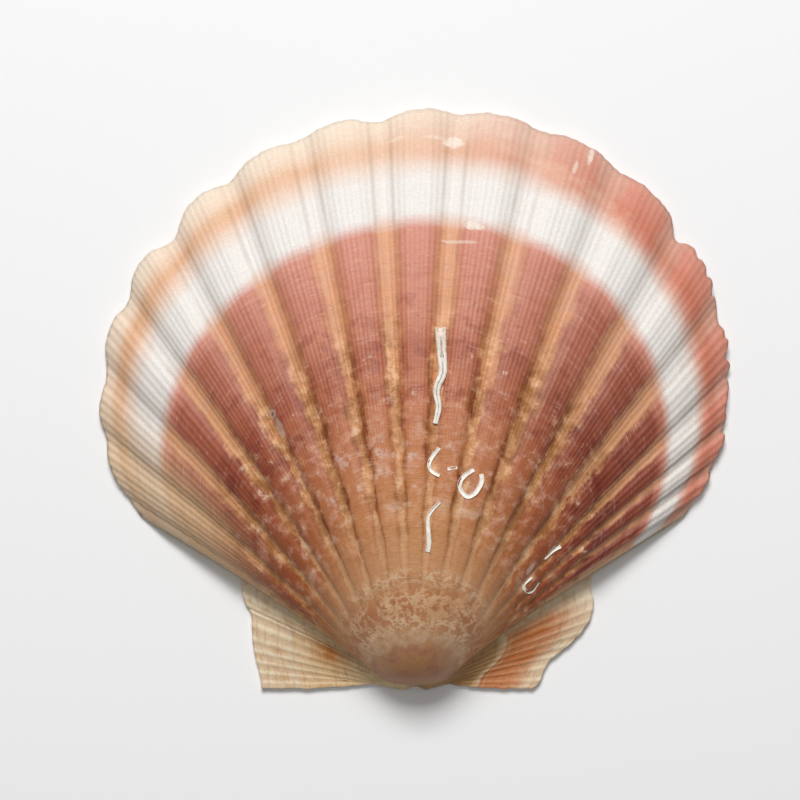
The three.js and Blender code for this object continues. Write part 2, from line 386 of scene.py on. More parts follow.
def growth_tree(material):
    """The rule that grows the valve: turn each stage about the hinge, thicken it and rib it."""
    tree = bpy.data.node_groups.new("scallop_growth", "GeometryNodeTree")
    tree.interface.new_socket(name="Geometry", in_out="INPUT", socket_type="NodeSocketGeometry")
    tree.interface.new_socket(name="Geometry", in_out="OUTPUT", socket_type="NodeSocketGeometry")
    size = growth_inputs(tree, GROWTH_SIZES)
    stage, ear, outer = (named_field(tree, name) for name in ("stage", "ear", "outer"))
    rim_x, rim_y = (named_field(tree, name) for name in ("rim_x", "rim_y"))
    rib_no, riblet_no = (named_field(tree, name) for name in ("rib_no", "riblet_no"))
    crease, bearing = (named_field(tree, name) for name in ("crease", "bearing"))

    # Turn every earlier stage about the hinge line.
    free = stage.log() * -1.0 / size["Growth Pitch"]
    limit = outer.mix(size["Cavity Turn"], size["Beak Turn"])
    turn = free / (1 + (free / limit) ** TURN_SHARPNESS) ** (1 / TURN_SHARPNESS)
    hinge = (rim_y * -1.0 / size["Hinge Setback"]).above(0.0).below(1.0)
    hinge_line = (1 - stage * turn.cos()) * size["Hinge Setback"] * -1.0
    beak_line = (1 - stage) ** BEAK_LEAN_POWER * size["Beak Lean"] * -1.0
    plate_line = (1 - stage) ** HINGE_PLATE_POWER * size["Hinge Plate"]
    outer_setback = ear.mix(beak_line, hinge_line)
    inner_setback = hinge.mix(plate_line, hinge_line)
    old = 1 - stage
    place = vector_of(
        tree, stage * rim_x * (1 - old * old * size["Umbo Narrowing"]) + old ** 3 * size["Beak Shift"],
        stage * rim_y * turn.cos() + outer.mix(inner_setback, outer_setback),
        (stage * rim_y * turn.sin()).above(0.0),
    )
    turned = tree.nodes.new("GeometryNodeSetPosition")
    group = tree.nodes.new("NodeGroupInput")
    tree.links.new(group.outputs["Geometry"], turned.inputs["Geometry"])
    tree.links.new(place, turned.inputs["Position"])

    # Relief of the outer face, along the turned surface's own outward direction.
    off_crest = ((rib_no.fraction() - 0.5) * 2).abs()
    on_disc = ear.ease(0.0, 0.02, 1.0, 0.0) * crease.ease(0.0, 0.3, 1.0, 0.0)
    narrow = bearing.abs().ease(34.0, 50.0, 1.0, 0.6)
    outward = (rib_no.fraction() * 2 - 1) * (bearing / 20).above(-1.0).below(1.0)
    rib = off_crest.ease(0.22 + outward * 0.14, 0.98 + outward * 0.02, 1.0, 0.0) * on_disc * narrow
    ribs = rib * size["Rib Height"] * stage * stage.ease(0.12, 0.45)
    ridge = (riblet_no * (2 * math.pi)).cos()
    flank = bearing.abs().ease(34.0, 52.0)
    fine = ridge * size["Riblet Height"] * stage.ease(0.4, 0.85) * on_disc * flank.mix(0.8, 1.5)
    on_ear = ear.ease(0.15, 0.3) * (1 - hinge)
    ear_fine = ridge * size["Ear Riblet Height"] * on_ear * stage.ease(0.15, 0.5)
    checks = 0.0
    for check in GROWTH_CHECKS:
        checks = stage.hump(check, 0.014) + checks
    wander = noise_field(tree, vector_of(tree, bearing * 0.05, stage * 6.0, outer * 9.0), 1.0, 3.0, 0.5, 4.0)
    uneven = (wander - 0.5) * size["Unevenness"] * stage.ease(0.1, 0.5)
    disc_wall = (stage ** WALL_POWER).mix(size["Umbo Wall"], size["Rim Wall"])
    wall = ear.ease(0.0, 0.3).mix(disc_wall, size["Ear Wall"]) * stage.ease(0.0, 0.12)
    relief = ribs + fine + ear_fine + uneven - checks * size["Growth Check Depth"] * on_disc
    lift_out = (wall + relief) * (1 - hinge)
    lift_in = ribs * 0.8 * stage.ease(0.5, 0.95) * -1.0
    lift = outer.mix(lift_in, lift_out)
    normal = tree.nodes.new("GeometryNodeInputNormal").outputs["Normal"]
    ragged = noise_field(tree, vector_of(tree, stage * rim_x * 420.0, 0.0, 0.0), 1.0, 5.0, 0.62, 7.0)
    bow = size["Hinge Bow"] * stage.ease(0.1, 0.75, 1.0, 0.0)
    worn = ((ragged - 0.5) * 2 * size["Hinge Wear"] + bow) * hinge
    edge = vector_of(tree, 0.0, worn, outer * hinge * size["Ear Wall"])
    thickened = tree.nodes.new("GeometryNodeSetPosition")
    tree.links.new(turned.outputs[0], thickened.inputs["Geometry"])
    tree.links.new(added(tree, scaled(tree, normal, lift), edge), thickened.inputs["Offset"])

    # Nothing of the shell dips under the surface that its rim rests on.
    position = tree.nodes.new("ShaderNodeSeparateXYZ")
    tree.links.new(tree.nodes.new("GeometryNodeInputPosition").outputs[0], position.inputs[0])
    x, y, z = (Field(tree, socket) for socket in position.outputs)
    grounded = tree.nodes.new("GeometryNodeSetPosition")
    tree.links.new(thickened.outputs[0], grounded.inputs["Geometry"])
    resting = vector_of(tree, x + AXIS.x, y + AXIS.y, z.above(0.0) + AXIS.z)
    tree.links.new(resting, grounded.inputs["Position"])
    return finish_tree(tree, grounded.outputs[0], material)


def finish_tree(tree, geometry, material):
    """Ends a tree: smooth shading, real geometry and the piece's material."""
    smooth = tree.nodes.new("GeometryNodeSetShadeSmooth")
    real = tree.nodes.new("GeometryNodeRealizeInstances")
    painted = tree.nodes.new("GeometryNodeSetMaterial")
    painted.inputs["Material"].default_value = material
    result = tree.nodes.new("NodeGroupOutput")
    tree.links.new(geometry, smooth.inputs[0])
    tree.links.new(smooth.outputs[0], real.inputs[0])
    tree.links.new(real.outputs[0], painted.inputs[0])
    tree.links.new(painted.outputs[0], result.inputs[0])
    return tree


def grown(name, mesh, tree, sizes):
    """Runs a tree on a mesh with the given sizes, and leaves a plain mesh object."""
    piece = bpy.data.objects.new(name, mesh)
    bpy.context.scene.collection.objects.link(piece)
    growth = piece.modifiers.new("growth", "NODES")
    growth.node_group = tree
    for item in tree.interface.items_tree:
        if item.in_out == "INPUT" and item.name in sizes:
            growth[item.identifier] = sizes[item.name]
    evaluated = piece.evaluated_get(bpy.context.evaluated_depsgraph_get())
    plain = bpy.data.meshes.new_from_object(evaluated)
    piece.modifiers.remove(growth)
    piece.data = plain
    plain.name = name
    return piece


def close_rim(mesh):
    """Joins the outer and the inner face: round the margin, along the hinge edge and at the beak."""
    work = bmesh.new()
    work.from_mesh(mesh)
    out_last, in_last = (OUTER_ROWS - 1) * columns, inner_start + (inner_rows - 1) * columns
    right = columns - 1
    back = AXIS + Vector((GROWTH_SIZES["Beak Shift"], GROWTH_SIZES["Hinge Bow"] - HINGE_SETBACK * MM, 0))
    out_beak = work.verts.new(back + Vector((0, 0, GROWTH_SIZES["Ear Wall"])))
    in_beak = work.verts.new(back)
    for name in ("outer", "ear"):
        out_beak[work.verts.layers.float[name]] = 1.0
    work.verts.ensure_lookup_table()
    v = work.verts
    for c in range(columns - 1):
        work.faces.new((v[c], v[c + 1], v[inner_start + c + 1], v[inner_start + c]))
        work.faces.new((v[out_last + c], out_beak, v[out_last + c + 1]))
        work.faces.new((v[in_last + c], v[in_last + c + 1], in_beak))
    for row in range(inner_rows - 1):
        o, i = INNER_STEP * row * columns, inner_start + row * columns
        steps = [o + step * columns for step in range(INNER_STEP + 1)]
        work.faces.new([v[step + right] for step in steps] + [v[i + columns + right], v[i + right]])
        work.faces.new([v[step] for step in steps[::-1]] + [v[i], v[i + columns]])
    work.faces.new((v[out_last + right], out_beak, in_beak, v[in_last + right]))
    work.faces.new((out_beak, v[out_last], v[in_last], in_beak))
    for face in work.faces:
        face.smooth = True
    work.to_mesh(mesh)
    work.free()


def paint(red, green, blue):
    """A colour given as it looks, 0 to 255, turned into the linear values that a shader takes."""
    linear = [((c / 255 + 0.055) / 1.055) ** 2.4 if c > 10 else c / 255 / 12.92 for c in (red, green, blue)]
    return (*linear, 1.0)


class Finish:
    """A material under construction: its tree, its shader and its coordinates."""

    def __init__(self, name):
        self.material = bpy.data.materials.new(name)
        self.material.use_nodes = True
        self.tree = self.material.node_tree
        self.shader = self.tree.nodes["Principled BSDF"]
        self.place = self.tree.nodes.new("ShaderNodeTexCoord").outputs["Object"]

    def mark(self, name):
        node = self.tree.nodes.new("ShaderNodeAttribute")
        node.attribute_name = name
        return Field(self.tree, node.outputs["Fac"])

    def noise(self, vector, scale, detail=2.0, roughness=0.5, seed=0.0):
        return noise_field(self.tree, vector, scale, detail, roughness, seed)

    def vector(self, x, y, z):
        return vector_of(self.tree, x, y, z)

    def bands(self, along, stops):
        """Colours that follow one another as a field rises."""
        node = self.tree.nodes.new("ShaderNodeValToRGB")
        self.tree.links.new(along.socket, node.inputs[0])
        ramp = node.color_ramp
        for position, colour in stops[1:-1]:
            ramp.elements.new(position).color = paint(*colour)
        ramp.elements[0].position, ramp.elements[0].color = stops[0][0], paint(*stops[0][1])
        ramp.elements[-1].position, ramp.elements[-1].color = stops[-1][0], paint(*stops[-1][1])
        return node.outputs[0]

    def layer(self, under, over, amount, way="MIX"):
        """Lays a colour over another by an amount. A colour is a socket or a tuple of 0 to 255."""
        node = self.tree.nodes.new("ShaderNodeMix")
        node.data_type, node.blend_type = "RGBA", way
        for slot, value in ((node.inputs[6], under), (node.inputs[7], over)):
            if isinstance(value, tuple):
                slot.default_value = paint(*value)
            else:
                self.tree.links.new(value, slot)
        if isinstance(amount, Field):
            self.tree.links.new(amount.socket, node.inputs[0])
        else:
            node.inputs[0].default_value = amount
        return node.outputs[2]

    def shade(self, colour, brightness):
        """Multiplies a colour by a brightness field."""
        grey = self.tree.nodes.new("ShaderNodeCombineColor")
        for slot in grey.inputs:
            self.tree.links.new(brightness.socket, slot)
        return self.layer(colour, grey.outputs[0], 1.0, "MULTIPLY")

    def bump(self, height, distance, strength=1.0):
        node = self.tree.nodes.new("ShaderNodeBump")
        node.inputs["Strength"].default_value = strength
        node.inputs["Distance"].default_value = distance
        self.tree.links.new(height.socket, node.inputs["Height"])
        self.tree.links.new(node.outputs[0], self.shader.inputs["Normal"])


# The lime's own colours, named as a painter would.
BEAK_TAN = (175, 130, 90)
SAND = (215, 165, 120)
OCHRE = (200, 135, 85)
BRICK = (185, 110, 75)
DUSTY_ROSE = (205, 135, 115)
APRICOT = (215, 160, 130)
CHALK_WHITE = (230, 225, 220)
PEACH = (230, 195, 170)
CREAM = (235, 220, 200)

# The bands that the animal laid down as it grew, from the beak (0) to the margin (1). The ribs turn
# from ochre to rose, stop short at a white band and end in a peach margin; the furrows stay warmer.
CREST_BANDS = (
    (0.0, BEAK_TAN), (0.35, OCHRE), (0.55, BRICK), (0.79, DUSTY_ROSE), (0.815, CHALK_WHITE),
    (0.875, CHALK_WHITE), (0.92, PEACH), (1.0, CREAM),
)
FURROW_BANDS = (
    (0.0, BEAK_TAN), (0.25, SAND), (0.55, OCHRE), (0.79, APRICOT), (0.825, CHALK_WHITE),
    (0.88, CHALK_WHITE), (0.93, PEACH), (1.0, CREAM),
)
FLANK_SHADE = (200, 155, 130)
SALMON_BLUSH = (225, 155, 145)
ORANGE_GLOW = (240, 200, 150)


def shell_finish():
    """Rose ribs, ochre furrows and a white band outside; warm white porcelain inside."""
    f = Finish("scallop_shell")
    stage, rib_no, riblet_no = f.mark("stage"), f.mark("rib_no"), f.mark("riblet_no")
    bearing, ear, crease, outer = (f.mark(name) for name in ("bearing", "ear", "crease", "outer"))
    on_ear = ear.ease(0.02, 0.1)
    growth = f.vector(bearing * 0.09, stage * 16.0, outer * 5.0)
    cloud = f.noise(growth, 0.7, 3.0, 0.55, 11.0)
    cloud_2 = f.noise(f.place, 160.0, 4.0, 0.6, 12.0)
    cloud_3 = f.noise(f.place, 330.0, 2.0, 0.5, 17.0)
    mottle = f.noise(f.place, 480.0, 4.0, 0.62, 13.0)
    grain = f.noise(f.place, 2200.0, 3.0, 0.6, 14.0)
    striae = f.noise(f.vector(bearing * 0.16, stage * 190.0, 0.0), 1.0, 3.0, 0.65, 2.0)
    striae_2 = f.noise(f.vector(bearing * 0.5, stage * 520.0, 0.0), 1.0, 2.0, 0.6, 5.0)
    wobble = (f.noise(growth, 1.1, 3.0, 0.5, 1.0) - 0.5) * 0.022
    aged = stage + wobble * stage.ease(0.83, 0.87, 0.35, 1.0) + (striae - 0.5) * 0.007
    side = rib_no.fraction() * 2 - 1
    off_crest = side.abs()
    outward = side * (bearing / 12).above(-1.0).below(1.0)
    wander = f.vector(bearing * 0.3, stage * 20.0, 0.0)
    blur = (f.noise(wander, 1.0, 4.0, 0.7, 3.0) - 0.5) * aged.ease(0.5, 0.72, 2.0, 0.6)
    on_rib = (off_crest + blur + outward * 0.07).ease(0.46, 0.76, 1.0, 0.0)
    rib_zone = aged.ease(0.15, 0.45)
    rose_zone = aged.ease(0.2, 0.5) * aged.ease(0.79, 0.805, 1.0, 0.0)
    old_zone = aged.ease(0.58, 0.7, 1.0, 0.0)
    margin_zone = aged.ease(0.875, 0.93)

    # Base bands, redder ribs towards both flanks and a salmon margin on the right.
    crest = f.bands(aged, CREST_BANDS)
    furrow = f.bands(aged, FURROW_BANDS)
    flank = bearing.abs().ease(4.0, 46.0)
    right = bearing.ease(-6.0, 26.0)
    left_edge = (bearing * -1.0).ease(44.0, 53.0)
    deep = flank * aged.ease(0.76, 0.8, 1.0, 0.0) * aged.ease(0.12, 0.32) * 0.85
    crest = f.layer(crest, FLANK_SHADE, deep, "MULTIPLY")
    crest = f.layer(crest, FLANK_SHADE, deep * right * aged.ease(0.5, 0.64) * 0.7, "MULTIPLY")
    furrow = f.layer(furrow, SAND, deep * bearing.abs().ease(24.0, 44.0) * aged.ease(0.45, 0.6) * 0.4)
    blush = margin_zone * right * (cloud + mottle * 0.3).ease(0.3, 0.62, 0.45, 1.0)
    crest = f.layer(crest, SALMON_BLUSH, blush * aged.ease(0.975, 1.02, 0.95, 0.7), "MULTIPLY")
    furrow = f.layer(furrow, SALMON_BLUSH, blush * 0.7, "MULTIPLY")
    orange = aged.hump(0.937, 0.034) * bearing.ease(-34.0, 6.0, 0.6, 0.2) * cloud.ease(0.25, 0.6, 0.35, 1.0)
    crest = f.layer(crest, ORANGE_GLOW, orange, "MULTIPLY")
    furrow = f.layer(furrow, ORANGE_GLOW, orange, "MULTIPLY")
    check = aged.hump(0.60, 0.05) + aged.hump(0.535, 0.022) * 0.7 + aged.hump(0.715, 0.008) * 0.25
    crest = f.layer(crest, (216, 176, 160), check * 0.6, "MULTIPLY")
    bruise = cloud_3.ease(0.5, 0.62) * aged.ease(0.45, 0.55) * aged.ease(0.66, 0.74, 1.0, 0.0)
    crest = f.layer(crest, (205, 165, 160), bruise * 0.5, "MULTIPLY")

    # Furrows are stained, and mottled with cream and brown where the shell is old.
    old = aged.ease(0.28, 0.42) * old_zone
    furrow = f.layer(furrow, (230, 190, 150), old * mottle.ease(0.48, 0.58) * 0.9)
    furrow = f.layer(furrow, (150, 95, 45), old * cloud_2.ease(0.44, 0.56) * 0.75)
    furrow = f.layer(furrow, (224, 152, 92), rose_zone * mottle.ease(0.4, 0.6) * 0.35)
    # Darker outward rib sides: partly a brown stain, partly painted shade of the side that turns away from
    # the light.
    rib_side_stain_and_shade = (off_crest + blur * 0.5).hump(0.66, 0.24) * outward.ease(-0.8, 0.8, 0.5, 1.0)
    colour = f.layer(furrow, crest, on_rib * rib_zone)
    outward_stain_and_shade = rib_side_stain_and_shade * rib_zone * bearing.abs().ease(26.0, 50.0, 1.0, 0.35)
    outward_stain_and_shade = outward_stain_and_shade * aged.ease(0.78, 0.81, 1.0, 0.0) * cloud_2.ease(0.25, 0.7, 0.5, 1.0)
    colour = f.layer(colour, (176, 112, 62), outward_stain_and_shade * aged.ease(0.5, 0.75, 0.95, 0.5), "MULTIPLY")
    # Thin grey lines on the rib sides in the white band: painted shade of the steep sides.
    grey = off_crest.hump(0.74, 0.12) * aged.ease(0.79, 0.81) * aged.ease(0.93, 1.0, 1.0, 0.5)
    colour = f.layer(colour, (186, 172, 156), grey * cloud.ease(0.3, 0.6, 0.05, 0.3), "MULTIPLY")

    # Worn places: lilac white on old crests, cream flakes, the net of pale pores over the umbo.
    worn = aged.hump(0.445, 0.06) * on_rib * cloud_3.ease(0.5, 0.64) * mottle.ease(0.4, 0.6)
    worn = worn * bearing.ease(2.0, 14.0, 1.0, 0.2)
    colour = f.layer(colour, (222, 196, 184), worn * bearing.ease(-40.0, -24.0) * 0.75)
    flakes = mottle.ease(0.62, 0.72) * aged.ease(0.3, 0.4) * aged.ease(0.56, 0.66, 1.0, 0.0)
    colour = f.layer(colour, (232, 200, 170), flakes * 0.6)
    dapple = mottle.ease(0.48, 0.62) * on_rib * aged.ease(0.28, 0.38) * aged.ease(0.5, 0.6, 1.0, 0.0)
    colour = f.layer(colour, (220, 170, 145), dapple * 0.28)
    worn_step = aged.hump(0.372, 0.014) * cloud_3.ease(0.46, 0.6) * 0.4
    colour = f.layer(colour, (232, 200, 172), worn_step)
    vein = f.noise(f.place, 190.0, 5.0, 0.6, 41.0)
    vein_2 = f.noise(f.place, 300.0, 5.0, 0.65, 42.0)
    coarse_net = (vein - 0.5).abs().ease(0.0, 0.05, 1.0, 0.0)
    fine_net = (vein_2 - 0.5).abs().ease(0.0, 0.045, 1.0, 0.0)
    net = (coarse_net + fine_net).below(1.0)
    arcs = (aged.hump(0.268, 0.02) * 0.8 + aged.hump(0.232, 0.022) * 0.7 + aged.hump(0.195, 0.03)).below(1.0)
    pale_net = net * arcs * bearing.abs().ease(34.0, 52.0, 1.0, 0.2)
    colour = f.layer(colour, (232, 196, 160), pale_net * cloud_2.ease(0.3, 0.55, 0.35, 0.9))
    rust = (1 - net) * aged.hump(0.225, 0.06)
    colour = f.layer(colour, (215, 160, 130), rust * 0.6, "MULTIPLY")
    pale_band = aged.hump(0.168, 0.022) * mottle.ease(0.38, 0.56) * 0.55
    colour = f.layer(colour, (225, 195, 165), pale_band)
    spots = cloud_3.ease(0.44, 0.6) * mottle.ease(0.3, 0.55)
    spots = spots * aged.ease(0.08, 0.11) * aged.ease(0.15, 0.18, 1.0, 0.0)
    colour = f.layer(colour, (185, 125, 100), spots * 0.8)

    browned = bearing.abs().ease(36.0, 54.0) * aged.ease(0.4, 0.66, 1.0, 0.0)
    colour = f.layer(colour, (240, 220, 180), browned * 0.6, "MULTIPLY")
    # Darker and browner towards the beak: partly its tan, partly painted shade where the beak turns down.
    colour = f.layer(colour, (226, 204, 170), aged.ease(0.1, 0.2, 0.85, 0.0), "MULTIPLY")

    # Fine sculpture: a pale line on every riblet, and the growth lines that cross them.
    ridge = (riblet_no * (2 * math.pi)).cos() * 0.5 + 0.5
    lined = aged.ease(0.35, 0.6) * (1 - on_ear)
    grid = ridge * lined * on_rib.ease(0.0, 1.0, 0.6, 1.0) * striae.ease(0.3, 0.7, 0.3, 1.0)
    ridge_lines = grid * cloud.ease(0.3, 0.65, 0.4, 1.0) * aged.ease(0.79, 0.82, 0.11, 0.05)
    colour = f.layer(colour, (236, 214, 200), ridge_lines)
    # Darker between the riblets, most on the steep flanks: dirt in the fine grooves and painted shade there.
    groove_dirt_and_shade = (1 - ridge) * lined * bearing.abs().ease(26.0, 48.0, 0.04, 0.3) * cloud.ease(0.3, 0.65, 0.45, 1.0)
    colour = f.layer(colour, (196, 162, 124), groove_dirt_and_shade, "MULTIPLY")
    pale_lines = striae.ease(0.52, 0.64) * striae_2.ease(0.45, 0.6) * mottle.ease(0.46, 0.58) * rose_zone
    colour = f.layer(colour, (232, 190, 172), pale_lines * 0.34)
    dark_lines = striae_2.ease(0.52, 0.7) * aged.ease(0.12, 0.3) * aged.ease(0.78, 0.82, 1.0, 0.12)
    colour = f.layer(colour, (205, 170, 140), dark_lines * 0.25, "MULTIPLY")
    lower = left_edge * aged.ease(0.42, 0.72) * aged.ease(0.9, 0.97, 0.85, 0.6)
    cream = f.layer((206, 172, 134), (178, 128, 84), aged.ease(0.5, 0.8, 0.8, 0.0) * cloud.ease(0.2, 0.6))
    colour = f.layer(colour, cream, lower)

    # White splashes and grazes on the margin, and one pit with a chalky lip on the left and a dark inside of
    # painted shade.
    def splash(at_bearing, at_stage, width, depth):
        reach = ((bearing - at_bearing) / width) ** 2 + ((stage - at_stage) / depth) ** 2
        return (reach + (mottle - 0.5) * 3.0).ease(0.35, 1.1, 1.0, 0.0)

    for at_bearing, at_stage, width, depth, strength in (
        (4.5, 0.945, 1.1, 0.012, 0.8), (2.4, 0.948, 1.4, 0.004, 0.35), (-1.5, 0.95, 1.3, 0.004, 0.35),
        (8.0, 0.80, 1.3, 0.009, 0.75), (6.0, 0.772, 2.6, 0.003, 0.4), (19.0, 0.985, 0.4, 0.018, 0.7),
        (17.9, 0.95, 0.3, 0.014, 0.45), (-27.3, 0.575, 0.8, 0.02, 0.3), (46.4, 0.47, 0.8, 0.012, 0.5),
        (44.4, 0.406, 1.0, 0.016, 0.35), (-27.6, 0.603, 0.9, 0.008, 0.3),
    ):
        colour = f.layer(colour, (238, 226, 212), splash(at_bearing, at_stage, width, depth) * strength)
    # The pit's dark inside is painted shade.
    colour = f.layer(colour, (96, 66, 48), splash(-27.6, 0.603, 0.4, 0.003) * 0.7)
    specks = grain.ease(0.66, 0.72) * cloud_2.ease(0.5, 0.66)
    colour = f.layer(colour, (150, 112, 76), specks * 0.5)

    # The ears: cream with painted shade in the crease; the right one has a rust fan between two cracks.
    ear_base = f.layer((236, 208, 164), (243, 224, 194), stage.ease(0.55, 0.95))
    ear_base = f.layer(ear_base, (208, 168, 118), mottle.ease(0.48, 0.66) * 0.4)
    fan_no = riblet_no.fraction()
    lower_ear = ear.ease(0.3, 0.5)
    ear_fan = f.noise(f.vector(ear * 30.0, stage * 4.0, 0.0), 1.0, 3.0, 0.6, 19.0)
    rust_fan = bearing.ease(0.0, 10.0) * ear.ease(0.2, 0.42) * stage.ease(0.545, 0.57)
    rust_fan = rust_fan * (stage + (cloud_2 - 0.5) * 0.25).ease(0.74, 0.96, 1.0, 0.0)
    ear_base = f.layer(ear_base, (205, 120, 60), rust_fan * ear_fan.ease(0.3, 0.7, 0.7, 1.0))
    between = bearing.ease(0.0, 10.0) * stage.ease(0.5, 0.55, 1.0, 0.0)
    ear_base = f.layer(ear_base, (186, 138, 84), between * 0.8)
    left_stain = (bearing * -1.0).ease(0.0, 10.0) * stage.hump(0.55, 0.16) * ear.hump(0.55, 0.22)
    ear_base = f.layer(ear_base, (206, 140, 78), left_stain * mottle.ease(0.25, 0.5))
    step = stage.hump(0.78, 0.02) * (bearing * -1.0).ease(0.0, 10.0) * lower_ear
    ear_base = f.layer(ear_base, (236, 222, 200), step * 0.8)
    crack_line = stage + (mottle - 0.5) * 0.04 + (1 - ear) * 0.05
    crack = crack_line.hump(0.565, 0.011) + crack_line.hump(0.605, 0.008) * 0.5
    ear_base = f.layer(ear_base, (232, 212, 182), crack * bearing.ease(0.0, 10.0) * lower_ear * 0.9)
    # Darker in the gaps between the ear's riblets: painted shade.
    riblet_gap_shade = (fan_no - 0.5).abs().ease(0.16, 0.5, 1.0, 0.0) * lower_ear * stage.ease(0.2, 0.4)
    ear_base = f.layer(ear_base, (190, 148, 100), riblet_gap_shade * 0.4, "MULTIPLY")
    ear_lines = f.noise(f.vector(ear * 6.0, stage * 60.0, 0.0), 1.0, 3.0, 0.6, 9.0)
    ear_base = f.layer(ear_base, (186, 150, 108), ear_lines.ease(0.52, 0.7) * 0.3, "MULTIPLY")
    # The notch and side wall darker: painted shade in the crease.
    ear_base = f.layer(ear_base, (172, 132, 84), crease.ease(0.35, 1.0) * 0.6)
    colour = f.layer(colour, ear_base, (on_ear + crease.ease(0.25, 0.6)).below(1.0))
    # A thin dark line of painted shade along the crease between the flank and the ear.
    crease_painted_shade = crease.hump(0.5, 0.14) * aged.ease(0.9, 1.0, 0.7, 0.2) * (1 - on_ear)
    colour = f.layer(colour, (120, 90, 50), crease_painted_shade)

    # The inside: smooth porcelain, blushed near the margin, with the scar of the closing muscle.
    spread = f.tree.nodes.new("ShaderNodeSeparateXYZ")
    f.tree.links.new(f.place, spread.inputs[0])
    x, y = (Field(f.tree, socket) for socket in spread.outputs[:2])
    scar = (((x - 0.012) / 0.017) ** 2 + ((y + 0.004) / 0.019) ** 2 + (cloud_2 - 0.5) * 0.1)
    scar_rim = scar.hump(1.0, 0.09)
    mantle = stage.hump(0.80, 0.012)
    inside = f.bands(
        stage + wobble,
        ((0.0, (206, 178, 146)), (0.2, (228, 212, 192)), (0.5, (232, 222, 210)), (0.78, (234, 226, 216)),
         (0.86, (230, 208, 192)), (0.95, (222, 180, 158)), (1.0, (230, 206, 186))),
    )
    inside = f.layer(inside, (214, 190, 168), (cloud * 0.6 + cloud_2 * 0.4).ease(0.45, 0.7) * 0.4)
    inside = f.layer(inside, (206, 184, 166), (scar_rim + mantle).below(1.0) * 0.5)
    inside = f.layer(inside, (240, 234, 226), scar.ease(0.8, 1.0, 0.5, 0.0))
    socket_shape = (x - AXIS.x).abs() * 1.2 + (y - AXIS.y + 0.004).abs()
    ligament = (socket_shape + (mottle - 0.5) * 0.001).ease(0.0032, 0.004, 1.0, 0.0)
    inside = f.layer(inside, (96, 66, 44), ligament * 0.8)
    colour = f.layer(inside, colour, outer)
    f.tree.links.new(f.shade(colour, grain.ease(0.3, 0.7, 0.93, 1.04)), f.shader.inputs["Base Color"])

    # Surface: worn and chalky outside, glossier within.
    gloss = outer.mix(0.26, 0.5) + (cloud_2 - 0.5) * 0.14 + (striae_2 - 0.5) * 0.1
    f.tree.links.new(gloss.socket, f.shader.inputs["Roughness"])
    f.shader.inputs["Specular IOR Level"].default_value = 0.35
    lines = striae * 0.5 + striae_2 * 0.3 + ridge * lined * 0.14
    sculpture = lines * stage.ease(0.05, 0.3, 0.3, 1.0) * outer + grain * 0.12 + mottle * 0.25
    sculpture = sculpture + ear_lines * on_ear * 0.5
    f.bump(sculpture + (scar_rim * -0.6 + mantle * -0.6 + 1) * (1 - outer), 0.00022, 0.8)
    return f.material


shell_paint = shell_finish()
shell = grown("scallop_valve", growing, growth_tree(shell_paint), GROWTH_SIZES)
close_rim(shell.data)
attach(shell, "root")
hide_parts("shell_valve")


# ---- The worm tubes -----------------------------------------------------------------------
# Bristle worms cemented chalky tubes of lime to the back of the living shell.
# What is left of them is broken: most are gutters with their roof worn away.

# Each tube's route and two radii in mm from the growth axis, how far its roof is open at its two
# ends (radians each side of the top), its bore and its height as shares of its radius.
TUBES = (
    ("long", ((5.7, 69.2), (5.9, 64.5), (6.1, 60.3), (5.1, 57.7), (4.9, 56.1), (5.3, 53.4), (4.6, 50.2)),
     1.15, 0.5, 0.1, 0.0, 0.56, 0.72),
    ("hook", ((5.4, 45.6), (3.9, 43.6), (3.4, 42.2), (4.0, 41.0), (5.5, 40.2)),
     0.4, 0.36, 1.6, 1.2, 0.8, 0.5),
    ("crumb", ((7.0, 41.5), (8.9, 41.8)), 0.36, 0.32, 1.6, 1.6, 0.8, 0.5),
    ("loop", ((12.2, 41.4), (10.2, 40.0), (9.4, 38.4), (9.9, 36.9), (11.0, 36.1), (12.2, 36.6),
              (13.1, 37.7), (13.7, 39.1), (13.6, 40.5)), 0.42, 0.46, 1.5, 1.4, 0.82, 0.5),
    ("short", ((5.5, 35.0), (3.7, 33.0), (3.2, 31.5), (3.3, 29.1), (3.4, 27.0), (3.1, 25.2)),
     0.32, 0.5, 0.6, 1.4, 0.78, 0.5),
    ("line", ((29.7, 25.8), (28.1, 24.9), (26.4, 23.4)), 0.36, 0.28, 1.6, 1.2, 0.8, 0.5),
    ("arc", ((23.9, 19.8), (22.4, 18.3), (22.7, 17.1), (23.9, 16.7), (25.4, 18.6)),
     0.36, 0.28, 1.6, 1.4, 0.8, 0.5),
)
TUBE_ROWS, TUBE_COLUMNS = 97, 29
TUBE_SEAT = 0.55  # how high a tube's middle stands over the shell, in radii
FORKED_MOUTH = 0.75
HIGH_ABOVE = 0.06
TUBE_SIZES = {
    "Start Radius": 0.45 * MM, "End Radius": 0.4 * MM, "Start Opening": 0.9, "End Opening": 0.7,
    "Fork": 0.0, "Bore": 0.56, "Flatness": 0.72, "Unevenness": 0.34,
}


def node_with(tree, kind, *links, **settings):
    """Adds a node with its settings, and links sockets to its inputs in order."""
    node = tree.nodes.new(kind)
    for name, value in settings.items():
        setattr(node, name, value)
    for socket, slot in zip(links, node.inputs):
        if socket is not None:
            tree.links.new(socket, slot)
    return node


